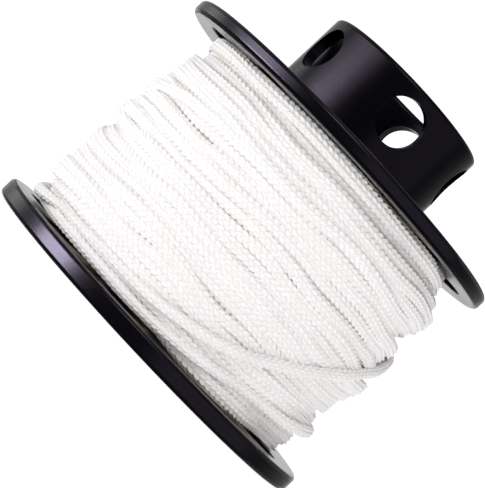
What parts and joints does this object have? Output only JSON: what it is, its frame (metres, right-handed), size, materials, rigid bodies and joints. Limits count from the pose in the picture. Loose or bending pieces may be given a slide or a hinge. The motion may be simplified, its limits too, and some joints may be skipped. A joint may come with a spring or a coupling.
{
  "type": "line reel",
  "caption": "Finger spool for a diver's line: a flanged drum wound with braided line, with windowed flanges and a perforated grip ring.",
  "frame": {"origin": "centre of the lower flange's outer face, on the drum's axis", "axes": "+Z along the drum's axis, towards the grip; the grip's first hole looks 10 degrees from -Y towards +X"},
  "size_m": [0.08, 0.08, 0.0709],
  "materials": {
    "flange_metal": "turned and milled, black anodised, satin; edges broken",
    "drum_metal": "turned, black anodised, satin",
    "grip_metal": "turned and drilled, black anodised, satin; edges broken",
    "screw_steel": "stainless steel, plain",
    "line_shade": "white braided polyester line, layers under the outer turns",
    "line_braid": "white braided polyester line, herringbone sheath, faint yarn sheen"
  },
  "bodies": {
    "root": {"lower_flange": "flange_metal", "upper_flange": "flange_metal", "drum_core": "drum_metal", "grip_ring": "grip_metal", "flange_screws": "screw_steel", "line_inner_layers": "line_shade", "line_outer_turns": "line_braid", "line_anchor_knot": "line_braid", "line_end_knot": "line_braid"}
  },
  "joints": []
}
